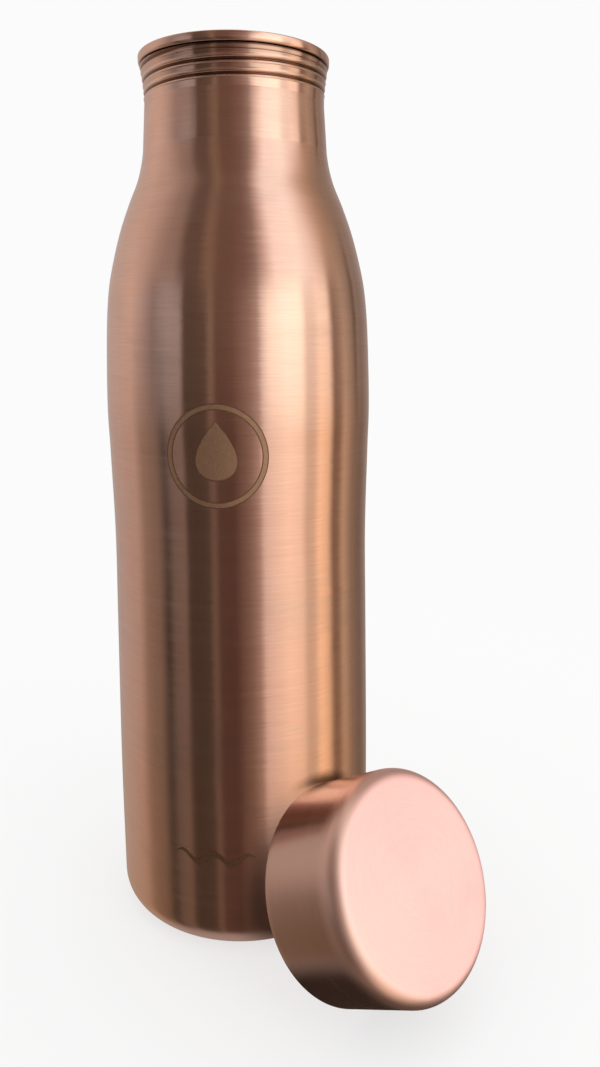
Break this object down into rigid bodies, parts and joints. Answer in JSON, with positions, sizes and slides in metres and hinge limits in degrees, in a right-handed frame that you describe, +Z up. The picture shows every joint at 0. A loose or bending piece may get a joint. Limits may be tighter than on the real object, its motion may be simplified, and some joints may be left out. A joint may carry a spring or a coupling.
{
  "type": "copper water bottle",
  "caption": "Standing copper water bottle with a threaded neck and a flared mouth, open, its round screw cap leaning against the foot.",
  "frame": {"origin": "centre of the bottle's underside, on the ground", "axes": "+Z up along the bottle's axis, out of its mouth; the cap stands on the +X, -Y side"},
  "size_m": [0.1078, 0.1241, 0.25],
  "materials": {
    "brushed_copper": "copper brushed round the turned pieces with fine lines, satin",
    "polished_copper": "polished copper, bright on the lip and the thread",
    "plain_copper": "unpolished copper, dull satin",
    "silicone": "off-white food silicone, matt"
  },
  "bodies": {
    "bottle": {"body_shell": "brushed_copper", "base_disc": "plain_copper", "neck_collar": "polished_copper"},
    "seal": {"seal_ring": "silicone"},
    "cap": {"cap_shell": "brushed_copper", "cap_plug": "plain_copper"}
  },
  "joints": [
    {"name": "cap_rise", "type": "slide", "parent": "bottle", "child": "seal", "axis": [0.6217, -0.6004, 0.503], "range_m": [0, 0.0072]},
    {"name": "cap_turn", "type": "hinge", "parent": "seal", "child": "cap", "pos_m": [0.02979, -0.04623, 0.02547], "axis": [0.6217, -0.6004, 0.503], "range_deg": [0, 810]}
  ],
  "couplings": [
    {"joint": "cap_rise", "follows": "cap_turn", "m_per_rad": 0.00050929}
  ]
}
